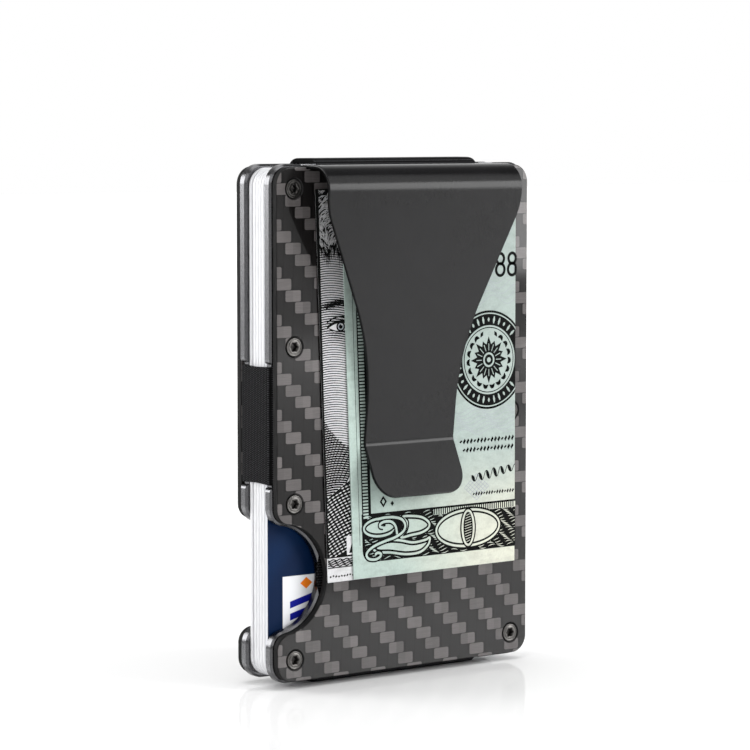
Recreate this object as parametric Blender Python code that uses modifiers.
"""Card wallet with a spring-steel money clip, standing on the lower loop of its elastic.

Two carbon-fibre plates are screwed to two aluminium chassis plates, an elastic loop and a side
strap squeeze the chassis plates onto a stack of cards, and a sheet-steel clip hooked over the top
edge presses a folded banknote against the front plate.

+X is right, the way the cards slide out. +Y runs from the clip to the rear plate. +Z is up.
The origin is the centre of the bottom of the bounding box.
"""
import math

import bmesh
import bpy
from mathutils import Matrix, Vector

MM = 0.001

# Cards, which set the size of everything else
CARD_WIDTH = 53.98 * MM
CARD_HEIGHT = 85.6 * MM
CARD_THICK = 0.76 * MM
CARD_CORNER = 3.18 * MM
CARD_COUNT = 6
STACK_SLACK = 0.29 * MM  # free depth in the pocket, seen as a slit before the last card

# Outer plates
PLATE_MARGIN_X = 0.01 * MM  # how far a plate reaches past a card at each side
PLATE_MARGIN_Z = 0.2 * MM
PLATE_THICK = 1.25 * MM
PLATE_CORNER = 3.0 * MM
EDGE_CHAMFER = 0.2 * MM

# Chassis plates
CHASSIS_THICK = 1.85 * MM
CHASSIS_LIP = 0.4 * MM  # how far a chassis stands proud of its plate all round

# Clearances
SEAT_GAP = 0.1 * MM  # between a plate and its chassis
SLIP_GAP = 0.05 * MM  # between thin layers that slide or press on each other
SIDE_GAP = 0.25 * MM  # beside a band in its channel

# Thumb notch in the left edge
NOTCH_RADIUS = 9.4 * MM
NOTCH_INSET = 0.75 * MM  # from the plate's left edge to the notch's centre
NOTCH_RISE = 17.3 * MM  # from the plate's bottom edge to the notch's centre
NOTCH_FILLET = 2.6 * MM

# Screws
SCREW_INSET = 3.6 * MM
SCREW_HEAD_RADIUS = 1.9 * MM
SCREW_SHANK_RADIUS = 0.95 * MM
SCREW_GAP = 0.1 * MM
SCREW_TIP_GAP = 0.15 * MM  # from a screw's tip to the chassis's inner face
SOCKET_RADIUS = 0.68 * MM
SOCKET_DEPTH = 0.55 * MM
LEFT_SCREWS = 4
RIGHT_SCREWS = 3

# Elastic
BAND_RUN_THICK = 0.5 * MM  # pressed between plate and chassis
BAND_CROWN_THICK = 0.9 * MM  # relaxed, where it rounds the ends
BAND_CORNER = 1.1 * MM
INNER_CORNER = 0.12 * MM  # of both elastics, small enough to clear a sharp chassis corner
BAND_SCREW_ROOM = 6.15 * MM  # from a screw column to the edge of the loop
STRAP_THICK = 0.6 * MM
STRAP_CORNER = 1.0 * MM
STRAP_SCREW_ROOM = 3.13 * MM  # from a screw's axis to the edge of the side strap
STRAP_BAND_ROOM = 0.95 * MM  # between the strap's ends and the loop

# Clip
SHEET = 0.6 * MM
CLIP_SIDE_ROOM = 6.35 * MM  # from the plate's side to the clip's side
TAB_HEIGHT = 12.0 * MM
TAB_CORNER = 1.5 * MM
RELIEF_DEPTH = 0.4 * MM  # how far the plate's top edge is lowered under the clip
HOOK_RADIUS = 0.5 * MM  # centre line of the bend over the plate's top edge
BEND_RADIUS = 3.9 * MM  # centre line of the large bend
BEND_REACH = 2.0 * MM  # from the plate's outer face to the large bend's axis
ARM_DROP = 46.6 * MM  # from the plate's top edge down to the crease
CREASE_RADIUS = 2.0 * MM
LIP_LENGTH = 9.2 * MM
LIP_ANGLE = math.radians(25)
WAIST_WIDTH = 19.1 * MM
WAIST_RISE = 5.6 * MM  # from the crease up to where the arm begins to widen
FLARE_RADIUS = 44.0 * MM
SHOULDER_RADIUS = 11.0 * MM
SHOULDER_DROP = 4.5 * MM  # from the plate's top edge down to where the arm begins to narrow
LIP_CORNER = 3.8 * MM
SPLIT_GAP = 0.1 * MM  # between the fixed and the springing part of the clip
DOWEL_RADIUS = 0.8 * MM
DOWEL_INSET = 1.6 * MM  # from the clip's side
DOWEL_DROP = 6.0 * MM
DOWEL_GAP = 0.08 * MM

# Banknote, folded in four
NOTE_WIDTH = 43.0 * MM
NOTE_HEIGHT = 66.3 * MM
NOTE_THICK = 0.5 * MM
NOTE_SHIFT = 2.5 * MM  # its centre is right of the wallet's
NOTE_TOP_ROOM = 3.2 * MM

THROUGH = 2.0 * MM  # how far a cutter runs past the face that it enters

# Sizes and places worked out from those above
PLATE_WIDTH = CARD_WIDTH + 2 * PLATE_MARGIN_X
PLATE_HEIGHT = CARD_HEIGHT + 2 * PLATE_MARGIN_Z
POCKET_DEPTH = CARD_COUNT * (CARD_THICK + SLIP_GAP) + SLIP_GAP + STACK_SLACK
SHELL_DEPTH = PLATE_THICK + SEAT_GAP + CHASSIS_THICK
BODY_DEPTH = 2 * SHELL_DEPTH + POCKET_DEPTH
CLIP_REACH = BEND_REACH + BEND_RADIUS + SHEET / 2  # the clip's front, before the front plate

BASE_Z = CHASSIS_LIP + SLIP_GAP + BAND_CROWN_THICK  # the plates' bottom edge
TOP_Z = BASE_Z + PLATE_HEIGHT
MIDDLE_Z = BASE_Z + PLATE_HEIGHT / 2
REAR_Y = (BODY_DEPTH + CLIP_REACH) / 2
FRONT_Y = REAR_Y - BODY_DEPTH
FRONT_CHASSIS_Y = FRONT_Y + PLATE_THICK + SEAT_GAP  # the outer faces of the two chassis plates
REAR_CHASSIS_Y = REAR_Y - PLATE_THICK - SEAT_GAP
POCKET_FRONT_Y = FRONT_Y + SHELL_DEPTH

SCREW_X = PLATE_WIDTH / 2 - SCREW_INSET
LEFT_SPACING = (PLATE_HEIGHT - 2 * SCREW_INSET) / (LEFT_SCREWS - 1)
RIGHT_SPACING = (PLATE_HEIGHT - 2 * SCREW_INSET) / (RIGHT_SCREWS - 1)

BAND_HALF = SCREW_X - BAND_SCREW_ROOM
FRONT_RUN_Y = FRONT_CHASSIS_Y + SHEET + SLIP_GAP  # the loop's outer faces, front and rear
REAR_RUN_Y = REAR_CHASSIS_Y - SLIP_GAP
STRAP_HALF = LEFT_SPACING / 2 - STRAP_SCREW_ROOM
STRAP_OUTER_X = -(PLATE_WIDTH / 2 + CHASSIS_LIP)
STRAP_INNER_X = STRAP_OUTER_X + STRAP_THICK
STRAP_END_X = -(BAND_HALF + STRAP_BAND_ROOM)
CARD_LEFT_X = STRAP_INNER_X + 2 * SLIP_GAP

CLIP_HALF = PLATE_WIDTH / 2 - CLIP_SIDE_ROOM
TAB_Y = FRONT_CHASSIS_Y + SHEET / 2
HOOK_Z = TOP_Z - RELIEF_DEPTH + SEAT_GAP + SHEET / 2  # centre line of the flat over the plate
BEND_Y = FRONT_Y - BEND_REACH
BEND_Z = HOOK_Z - BEND_RADIUS
NOTE_Y = FRONT_Y - SLIP_GAP - NOTE_THICK / 2
CREASE_Z = TOP_Z - ARM_DROP
CREASE_Y = NOTE_Y - NOTE_THICK / 2 - SLIP_GAP - SHEET / 2 - CREASE_RADIUS
DOWEL_X = CLIP_HALF - DOWEL_INSET
DOWEL_Z = TOP_Z - DOWEL_DROP

# How an outline's own plane is turned: (x, y) of the outline to XY, XZ or YZ of the model
PLANES = {
    "XY": Matrix.Identity(4),
    "XZ": Matrix.Rotation(math.radians(90), 4, "X"),
    "YZ": Matrix.Rotation(math.radians(90), 4, "Z") @ Matrix.Rotation(math.radians(90), 4, "X"),
}
OUT_OF_PLANE = {"XY": Vector((0, 0, 1)), "XZ": Vector((0, 1, 0)), "YZ": Vector((1, 0, 0))}


# ---------------------------------------------------------------- scene and materials

def clear_scene():
    for obj in list(bpy.data.objects):
        bpy.data.objects.remove(obj, do_unlink=True)


def new_collection(name):
    collection = bpy.data.collections.new(name)
    bpy.context.scene.collection.children.link(collection)
    return collection


def material(name, colour, roughness, metallic=0.0):
    made = bpy.data.materials.new(name)
    made.use_nodes = True
    shader = made.node_tree.nodes["Principled BSDF"]
    shader.inputs["Base Color"].default_value = (*colour, 1)
    shader.inputs["Roughness"].default_value = roughness
    shader.inputs["Metallic"].default_value = metallic
    made.diffuse_color = (*colour, 1)
    return made


clear_scene()
WALLET = new_collection("card_wallet_with_money_clip")
CUTTERS = new_collection("cutters")

CARBON = material("carbon_fibre", (0.045, 0.045, 0.047), 0.32)
ANODISED = material("black_anodised_aluminium", (0.06, 0.062, 0.066), 0.35, 0.8)
STEEL = material("black_spring_steel", (0.05, 0.05, 0.052), 0.38, 0.7)
SCREW_STEEL = material("black_screw_steel", (0.08, 0.078, 0.075), 0.4, 0.8)
ELASTIC = material("black_elastic", (0.014, 0.014, 0.015), 0.9)
CARD_WHITE = material("white_card", (0.85, 0.85, 0.88), 0.35)
CARD_NAVY = material("navy_card", (0.003, 0.014, 0.06), 0.3)
PAPER = material("banknote_paper", (0.62, 0.71, 0.64), 0.85)


# ---------------------------------------------------------------- outlines and solids

def arc(cx, cy, radius, start, end, steps):
    """Points from the angle start to the angle end, in degrees, both included."""
    angles = [math.radians(start + (end - start) * i / steps) for i in range(steps + 1)]
    return [(cx + radius * math.cos(a), cy + radius * math.sin(a)) for a in angles]


def rounded_rectangle(left, right, low, high, radius, steps=5):
    return (
        arc(left + radius, low + radius, radius, 180, 270, steps)
        + arc(right - radius, low + radius, radius, 270, 360, steps)
        + arc(right - radius, high - radius, radius, 0, 90, steps)
        + arc(left + radius, high - radius, radius, 90, 180, steps)
    )


def shell_outline(offset):
    """The plate's outline in XZ, grown by offset: a rounded rectangle with the thumb notch."""
    half = PLATE_WIDTH / 2
    radius = PLATE_CORNER + offset
    corner_x = half - PLATE_CORNER
    low = BASE_Z + PLATE_CORNER
    high = TOP_Z - PLATE_CORNER
    notch_x = -half + NOTCH_INSET
    notch_z = BASE_Z + NOTCH_RISE
    fillet_x = -half + NOTCH_FILLET
    across = fillet_x - notch_x
    rise = math.sqrt((NOTCH_RADIUS + NOTCH_FILLET) ** 2 - across ** 2)
    turn = math.degrees(math.atan2(rise, across))
    fillet = NOTCH_FILLET + offset
    return (
        arc(-corner_x, low, radius, 180, 270, 6)
        + arc(corner_x, low, radius, 270, 360, 6)
        + arc(corner_x, high, radius, 0, 90, 6)
        + arc(-corner_x, high, radius, 90, 180, 6)
        + arc(fillet_x, notch_z + rise, fillet, 180, 180 + turn, 5)
        + arc(notch_x, notch_z, NOTCH_RADIUS - offset, turn, -turn, 18)[1:-1]
        + arc(fillet_x, notch_z - rise, fillet, 180 - turn, 180, 5)
    )


def object_from_mesh(name, mesh, collection=WALLET, surface=None):
    obj = bpy.data.objects.new(name, mesh)
    collection.objects.link(obj)
    if surface:
        mesh.materials.clear()
        mesh.materials.append(surface)
    if collection is CUTTERS:
        obj.hide_render = True
        obj.display_type = "WIRE"
    return obj


def solid_from_outline(name, outlines, plane, low, high, surface=None, collection=WALLET):
    """The outlines, which lie in plane, filled and stretched from low to high along its normal."""
    curve = bpy.data.curves.new(name, "CURVE")
    curve.dimensions = "2D"
    curve.fill_mode = "BOTH"
    curve.extrude = (high - low) / 2
    for outline in outlines:
        spline = curve.splines.new("POLY")
        spline.points.add(len(outline) - 1)
        for point, (x, y) in zip(spline.points, outline):
            point.co = (x, y, 0, 1)
        spline.use_cyclic_u = True
    guide = bpy.data.objects.new(name, curve)
    bpy.context.scene.collection.objects.link(guide)
    bpy.context.view_layer.update()
    mesh = bpy.data.meshes.new_from_object(guide.evaluated_get(bpy.context.evaluated_depsgraph_get()))
    bpy.data.objects.remove(guide, do_unlink=True)

    bm = bmesh.new()
    bm.from_mesh(mesh)
    bmesh.ops.remove_doubles(bm, verts=bm.verts, dist=0.002 * MM)
    if len(outlines) == 1:
        bmesh.ops.dissolve_limit(
            bm, angle_limit=math.radians(0.5), verts=bm.verts, edges=bm.edges)
    bmesh.ops.recalc_face_normals(bm, faces=bm.faces)
    bm.to_mesh(mesh)
    bm.free()
    mesh.transform(Matrix.Translation(OUT_OF_PLANE[plane] * (low + high) / 2) @ PLANES[plane])
    mesh.name = name
    return object_from_mesh(name, mesh, collection, surface)


def smooth(obj, angle=30):
    obj.data.shade_smooth()
    obj.data.set_sharp_from_angle(angle=math.radians(angle))


def chamfer(obj, width):
    bevel = obj.modifiers.new("chamfer", "BEVEL")
    bevel.width = width
    bevel.segments = 1
    bevel.limit_method = "ANGLE"
    bevel.angle_limit = math.radians(50)


def cut(obj, cutter, operation="DIFFERENCE"):
    boolean = obj.modifiers.new(cutter.name, "BOOLEAN")
    boolean.operation = operation
    boolean.solver = "EXACT"
    boolean.object = cutter


def box_cutter(name, low, high):
    """A cutter from one corner to the opposite one."""
    bm = bmesh.new()
    size = Vector(high) - Vector(low)
    middle = (Vector(high) + Vector(low)) / 2
    bmesh.ops.create_cube(bm, size=1, matrix=Matrix.LocRotScale(middle, None, size))
    mesh = bpy.data.meshes.new(name)
    bm.to_mesh(mesh)
    bm.free()
    return object_from_mesh(name, mesh, CUTTERS)


def round_cutter(name, places, stations, segments=16):
    """At each (x, z), a frustum along Y between the two stations (y, radius)."""
    (y0, r0), (y1, r1) = stations
    bm = bmesh.new()
    for x, z in places:
        turn = Matrix.Rotation(math.radians(-90), 4, "X")
        place = Matrix.Translation((x, (y0 + y1) / 2, z)) @ turn
        bmesh.ops.create_cone(
            bm, cap_ends=True, segments=segments, radius1=r0, radius2=r1, depth=y1 - y0,
            matrix=place)
    mesh = bpy.data.meshes.new(name)
    bm.to_mesh(mesh)
    bm.free()
    return object_from_mesh(name, mesh, CUTTERS)


def empty(name, location):
    obj = bpy.data.objects.new(name, None)
    WALLET.objects.link(obj)
    obj.location = location
    obj.empty_display_size = 5 * MM
    return obj


def attach(child, parent):
    """Parents without moving the child."""
    child.parent = parent
    child.matrix_parent_inverse = Matrix.Translation(-parent.location)


# ---------------------------------------------------------------- screws

def screw_places():
    left = [(-SCREW_X, BASE_Z + SCREW_INSET + i * LEFT_SPACING) for i in range(LEFT_SCREWS)]
    right = [(SCREW_X, BASE_Z + SCREW_INSET + i * RIGHT_SPACING) for i in range(RIGHT_SCREWS)]
    return left + right


def screw_mesh():
    """A countersunk screw along Z, its head's top at 0, with a six-sided socket."""
    length = SHELL_DEPTH - SCREW_TIP_GAP
    head = SCREW_HEAD_RADIUS - SCREW_GAP
    shank = SCREW_SHANK_RADIUS
    tip = shank * 0.7
    profile = [
        (0, 0), (head, 0), (shank, shank - head), (shank, -length + shank - tip), (tip, -length),
        (0, -length),
    ]
    mesh = bpy.data.meshes.new("screw_profile")
    edges = [(i, i + 1) for i in range(len(profile) - 1)]
    mesh.from_pydata([(r, 0, z) for r, z in profile], edges, [])
    blank = object_from_mesh("screw_blank", mesh, CUTTERS)
    turn = blank.modifiers.new("turned", "SCREW")
    turn.steps = turn.render_steps = 18
    turn.use_merge_vertices = True
    turn.merge_threshold = 0.01 * MM

    bm = bmesh.new()
    bmesh.ops.create_cone(
        bm, cap_ends=True, segments=6, radius1=SOCKET_RADIUS, radius2=SOCKET_RADIUS,
        depth=2 * SOCKET_DEPTH)
    socket_mesh = bpy.data.meshes.new("screw_socket")
    bm.to_mesh(socket_mesh)
    bm.free()
    cut(blank, object_from_mesh("screw_socket", socket_mesh, CUTTERS))
    bpy.context.view_layer.update()
    made = bpy.data.meshes.new_from_object(blank.evaluated_get(bpy.context.evaluated_depsgraph_get()))
    bpy.data.objects.remove(blank, do_unlink=True)
    made.name = "countersunk_screw"
    made.materials.clear()
    made.materials.append(SCREW_STEEL)
    return made


def add_screws(mesh, side, y, turn, parent):
    for number, (x, z) in enumerate(screw_places(), 1):
        screw = bpy.data.objects.new(f"{side}_screw_{number}", mesh)
        WALLET.objects.link(screw)
        screw.location = (x, y, z)
        screw.rotation_euler = (turn, 0, 0)
        bpy.context.view_layer.update()
        attach(screw, parent)


# ---------------------------------------------------------------- plates and chassis

def add_plate(side, outer_y, inward):
    """inward is +1 where the wallet's inside is towards +Y, and -1 for the rear plate."""
    inner_y = outer_y + inward * PLATE_THICK
    plate = solid_from_outline(
        f"{side}_plate", [shell_outline(0)], "XZ", min(outer_y, inner_y), max(outer_y, inner_y),
        CARBON)
    chamfer(plate, EDGE_CHAMFER)
    hole = SCREW_SHANK_RADIUS + SCREW_GAP
    sink = SCREW_HEAD_RADIUS - hole
    past = THROUGH / 10
    cone = sorted([(outer_y - inward * past, SCREW_HEAD_RADIUS + past),
                   (outer_y + inward * sink, hole)])
    bore = sorted([(outer_y - inward * THROUGH, hole), (inner_y + inward * THROUGH, hole)])
    cut(plate, round_cutter(f"{side}_plate_bores", screw_places(), bore))
    cut(plate, round_cutter(f"{side}_plate_countersinks", screw_places(), cone))
    return plate


def add_chassis(side, outer_y, inward, run_y):
    """A chassis plate with its screw holes, the loop's channel and the side strap's channel."""
    inner_y = outer_y + inward * CHASSIS_THICK
    chassis = solid_from_outline(
        f"{side}_chassis", [shell_outline(CHASSIS_LIP)], "XZ", min(outer_y, inner_y),
        max(outer_y, inner_y), ANODISED)
    chamfer(chassis, EDGE_CHAMFER)
    hole = SCREW_SHANK_RADIUS + SCREW_GAP
    through = sorted([(outer_y - inward * THROUGH, hole), (inner_y + inward * THROUGH, hole)])
    cut(chassis, round_cutter(f"{side}_chassis_bores", screw_places(), through))

    outside = outer_y - inward * THROUGH
    band_floor = run_y + inward * (BAND_RUN_THICK + SLIP_GAP)
    band_x = BAND_HALF + SIDE_GAP
    cut(chassis, box_cutter(
        f"{side}_band_channel",
        (-band_x, min(outside, band_floor), BASE_Z - THROUGH),
        (band_x, max(outside, band_floor), TOP_Z + THROUGH)))

    strap_floor = outer_y + inward * (BAND_RUN_THICK + 2 * SLIP_GAP)
    strap_z = STRAP_HALF + SIDE_GAP
    cut(chassis, box_cutter(
        f"{side}_strap_channel",
        (STRAP_OUTER_X - THROUGH, min(outside, strap_floor), MIDDLE_Z - strap_z),
        (STRAP_END_X + SIDE_GAP, max(outside, strap_floor), MIDDLE_Z + strap_z)))
    inside = inner_y + inward * THROUGH
    cut(chassis, box_cutter(
        f"{side}_strap_recess",
        (STRAP_OUTER_X - THROUGH, min(outside, inside), MIDDLE_Z - strap_z),
        (STRAP_INNER_X + SLIP_GAP, max(outside, inside), MIDDLE_Z + strap_z)))
    return chassis


def fit_clip(plate, chassis):
    """The plate's lowered top edge, and the tab's pocket with its two dowel holes."""
    side = CLIP_HALF + SIDE_GAP
    cut(plate, box_cutter(
        "clip_relief", (-side, FRONT_Y - THROUGH, TOP_Z - RELIEF_DEPTH),
        (side, FRONT_CHASSIS_Y, TOP_Z + THROUGH)))
    pocket_floor = FRONT_CHASSIS_Y + SHEET + SLIP_GAP
    cut(chassis, box_cutter(
        "clip_pocket", (-side, FRONT_CHASSIS_Y - THROUGH, TOP_Z - TAB_HEIGHT - SIDE_GAP),
        (side, pocket_floor, TOP_Z + THROUGH)))
    radius = DOWEL_RADIUS + DOWEL_GAP
    dowel_end = POCKET_FRONT_Y - SCREW_TIP_GAP
    cut(chassis, round_cutter(
        "dowel_holes", [(-DOWEL_X, DOWEL_Z), (DOWEL_X, DOWEL_Z)],
        [(FRONT_CHASSIS_Y, radius), (dowel_end, radius)]))


def add_dowels(parent):
    start = FRONT_CHASSIS_Y + SLIP_GAP
    end = POCKET_FRONT_Y - SCREW_TIP_GAP - SLIP_GAP
    for side, sign in (("left", -1), ("right", 1)):
        bm = bmesh.new()
        bmesh.ops.create_cone(
            bm, cap_ends=True, segments=16, radius1=DOWEL_RADIUS, radius2=DOWEL_RADIUS,
            depth=end - start)
        mesh = bpy.data.meshes.new(f"clip_dowel_{side}")
        bm.to_mesh(mesh)
        bm.free()
        dowel = object_from_mesh(f"clip_dowel_{side}", mesh, WALLET, SCREW_STEEL)
        dowel.location = (sign * DOWEL_X, (start + end) / 2, DOWEL_Z)
        dowel.rotation_euler = (math.radians(90), 0, 0)
        smooth(dowel)
        attach(dowel, parent)


# ---------------------------------------------------------------- clip

def thickened(path):
    """A closed outline of a sheet whose centre line is path, a list of (y, z, heading)."""
    near, far = [], []
    for y, z, heading in path:
        ny, nz = -math.sin(heading), math.cos(heading)
        near.append((y + ny * SHEET / 2, z + nz * SHEET / 2))
        far.append((y - ny * SHEET / 2, z - nz * SHEET / 2))
    return near + far[::-1]


def bend(cy, cz, radius, start, end, steps):
    """Centre-line points round a bend, from the angle start to the angle end, in degrees."""
    turn = 90 if end > start else -90
    return [
        (cy + radius * math.cos(math.radians(a)), cz + radius * math.sin(math.radians(a)),
         math.radians(a + turn))
        for a in [start + (end - start) * i / steps for i in range(steps + 1)]
    ]


def arm_lean():
    """How far the arm's straight leans back, in degrees: it touches the bend and the crease."""
    down = BEND_Z - CREASE_Z
    back = BEND_Y - CREASE_Y
    apart = math.hypot(down, back)
    return math.degrees(
        math.asin((BEND_RADIUS + CREASE_RADIUS) / apart) - math.atan2(back, down))


def clip_tab_outline():
    up = (TAB_Y, TOP_Z - TAB_HEIGHT, math.radians(90))
    hook = bend(TAB_Y - HOOK_RADIUS, HOOK_Z - HOOK_RADIUS, HOOK_RADIUS, 0, 90, 4)
    end = (BEND_Y + SPLIT_GAP / 2, HOOK_Z, math.radians(180))
    return thickened([up] + hook + [end])


def clip_arm_outline():
    lean = arm_lean()
    lip = math.degrees(LIP_ANGLE)
    start = (BEND_Y - SPLIT_GAP / 2, HOOK_Z, math.radians(180))
    turned = math.degrees(math.asin(SPLIT_GAP / 2 / BEND_RADIUS))
    large = bend(BEND_Y, BEND_Z, BEND_RADIUS, 90 + 4 * turned, 180 + lean, 9)
    crease = bend(CREASE_Y, CREASE_Z, CREASE_RADIUS, lean, -lip, 5)
    y, z, heading = crease[-1]
    tip = (y + LIP_LENGTH * math.cos(heading), z + LIP_LENGTH * math.sin(heading), heading)
    return thickened([start] + large + crease + [tip])


def arm_half_outline():
    """The right half of the arm seen from the front, from the tip's middle up to the top."""
    tip_z = CREASE_Z - CREASE_RADIUS * math.sin(LIP_ANGLE) - LIP_LENGTH * math.cos(LIP_ANGLE)
    waist = WAIST_WIDTH / 2
    waist_z = CREASE_Z + WAIST_RISE
    shoulder_z = TOP_Z - SHOULDER_DROP
    shoulder_x = CLIP_HALF - SHOULDER_RADIUS
    rise = shoulder_z - waist_z
    # The widest flare that still meets the shoulder without crossing it
    inset = waist - shoulder_x
    widest = (inset ** 2 + rise ** 2 - SHOULDER_RADIUS ** 2) / (2 * (SHOULDER_RADIUS - inset))
    flare = min(FLARE_RADIUS, 0.98 * widest)
    across = inset + flare
    turn = math.degrees(
        math.atan2(rise, across)
        - math.acos((flare + SHOULDER_RADIUS) / math.hypot(across, rise)))
    return (
        arc(waist - LIP_CORNER, tip_z + LIP_CORNER, LIP_CORNER, -90, 0, 5)
        + arc(waist + flare, waist_z, flare, 180, 180 - turn, 5)
        + arc(shoulder_x, shoulder_z, SHOULDER_RADIUS, -turn, 0, 4)
        + [(CLIP_HALF, TOP_Z + THROUGH)]
    )


def add_clip(tab_parent, arm_parent):
    tab = solid_from_outline(
        "clip_tab", [clip_tab_outline()], "YZ", -CLIP_HALF, CLIP_HALF, STEEL)
    tab_low = TOP_Z - TAB_HEIGHT
    shape = solid_from_outline(
        "clip_tab_shape",
        [rounded_rectangle(-CLIP_HALF, CLIP_HALF, tab_low, TOP_Z + THROUGH, TAB_CORNER, 4)],
        "XZ", BEND_Y - THROUGH, POCKET_FRONT_Y, None, CUTTERS)
    cut(tab, shape, "INTERSECT")
    radius = DOWEL_RADIUS + DOWEL_GAP
    cut(tab, round_cutter(
        "tab_holes", [(-DOWEL_X, DOWEL_Z), (DOWEL_X, DOWEL_Z)],
        [(FRONT_CHASSIS_Y - SEAT_GAP, radius), (FRONT_CHASSIS_Y + SHEET + SEAT_GAP, radius)]))
    attach(tab, tab_parent)

    arm = solid_from_outline(
        "clip_arm", [clip_arm_outline()], "YZ", -CLIP_HALF, CLIP_HALF, STEEL)
    half = arm_half_outline()
    mirrored = [(-x, z) for x, z in reversed(half)]
    front = solid_from_outline(
        "clip_arm_shape", [half + mirrored], "XZ", FRONT_Y - 2 * CLIP_REACH, FRONT_Y, None, CUTTERS)
    cut(arm, front, "INTERSECT")
    smooth(arm)
    attach(arm, arm_parent)


# ---------------------------------------------------------------- elastic, cards and note

def add_vertical_elastic(parent):
    """A loop round both chassis plates, lying in their channels."""
    lip = CHASSIS_LIP + SLIP_GAP
    outer = rounded_rectangle(
        FRONT_RUN_Y, REAR_RUN_Y, BASE_Z - lip - BAND_CROWN_THICK, TOP_Z + lip + BAND_CROWN_THICK,
        BAND_CORNER)
    inner = rounded_rectangle(
        FRONT_RUN_Y + BAND_RUN_THICK, REAR_RUN_Y - BAND_RUN_THICK, BASE_Z - lip, TOP_Z + lip,
        INNER_CORNER, 3)
    loop = solid_from_outline(
        "vertical_elastic", [outer, inner], "YZ", -BAND_HALF, BAND_HALF, ELASTIC)
    attach(loop, parent)


def add_side_elastic(parent):
    """A strap round the left side, with its two ends in the channels under the plates."""
    front, rear = FRONT_CHASSIS_Y + SLIP_GAP, REAR_CHASSIS_Y - SLIP_GAP
    corner = STRAP_CORNER
    inner = INNER_CORNER
    outline = (
        [(STRAP_END_X, front)]
        + arc(STRAP_OUTER_X + corner, front + corner, corner, 270, 180, 5)
        + arc(STRAP_OUTER_X + corner, rear - corner, corner, 180, 90, 5)
        + [(STRAP_END_X, rear), (STRAP_END_X, rear - BAND_RUN_THICK)]
        + arc(STRAP_INNER_X + inner, rear - BAND_RUN_THICK - inner, inner, 90, 180, 3)
        + arc(STRAP_INNER_X + inner, front + BAND_RUN_THICK + inner, inner, 180, 270, 3)
        + [(STRAP_END_X, front + BAND_RUN_THICK)]
    )
    strap = solid_from_outline(
        "side_elastic", [outline], "XY", MIDDLE_Z - STRAP_HALF, MIDDLE_Z + STRAP_HALF, ELASTIC)
    attach(strap, parent)


def add_cards():
    outline = rounded_rectangle(
        CARD_LEFT_X, CARD_LEFT_X + CARD_WIDTH, BASE_Z + PLATE_MARGIN_Z, TOP_Z - PLATE_MARGIN_Z,
        CARD_CORNER)
    y = POCKET_FRONT_Y + SLIP_GAP
    for number in range(1, CARD_COUNT + 1):
        if number == CARD_COUNT:
            y += STACK_SLACK
        solid_from_outline(
            f"card_{number}", [outline], "XZ", y, y + CARD_THICK,
            CARD_NAVY if number == 1 else CARD_WHITE)
        y += CARD_THICK + SLIP_GAP


def add_banknote():
    """The folded note: square at its open edge, rounded at the fold on the right."""
    left = NOTE_SHIFT - NOTE_WIDTH / 2
    right = NOTE_SHIFT + NOTE_WIDTH / 2
    fold = NOTE_THICK / 2
    outline = (
        [(left, NOTE_Y + fold), (left, NOTE_Y - fold)]
        + arc(right - fold, NOTE_Y, fold, -90, 90, 6)
    )
    top = TOP_Z - NOTE_TOP_ROOM
    solid_from_outline("banknote", [outline], "XY", top - NOTE_HEIGHT, top, PAPER)


def build():
    front_shell = empty("front_shell", (0, FRONT_CHASSIS_Y, MIDDLE_Z))
    rear_shell = empty("rear_shell", (0, REAR_CHASSIS_Y, MIDDLE_Z))
    clip_hinge = empty("clip_hinge", (0, BEND_Y, HOOK_Z))

    front_plate = add_plate("front", FRONT_Y, 1)
    front_chassis = add_chassis("front", FRONT_CHASSIS_Y, 1, FRONT_RUN_Y)
    fit_clip(front_plate, front_chassis)
    rear_plate = add_plate("rear", REAR_Y, -1)
    rear_chassis = add_chassis("rear", REAR_CHASSIS_Y, -1, REAR_RUN_Y)
    for piece in (front_plate, front_chassis):
        attach(piece, front_shell)
    for piece in (rear_plate, rear_chassis):
        attach(piece, rear_shell)

    screw = screw_mesh()
    add_screws(screw, "front", FRONT_Y, math.radians(90), front_shell)
    add_screws(screw, "rear", REAR_Y, math.radians(-90), rear_shell)
    add_dowels(front_shell)
    add_clip(front_shell, clip_hinge)
    add_vertical_elastic(front_shell)
    add_side_elastic(front_shell)
    add_cards()
    add_banknote()


build()
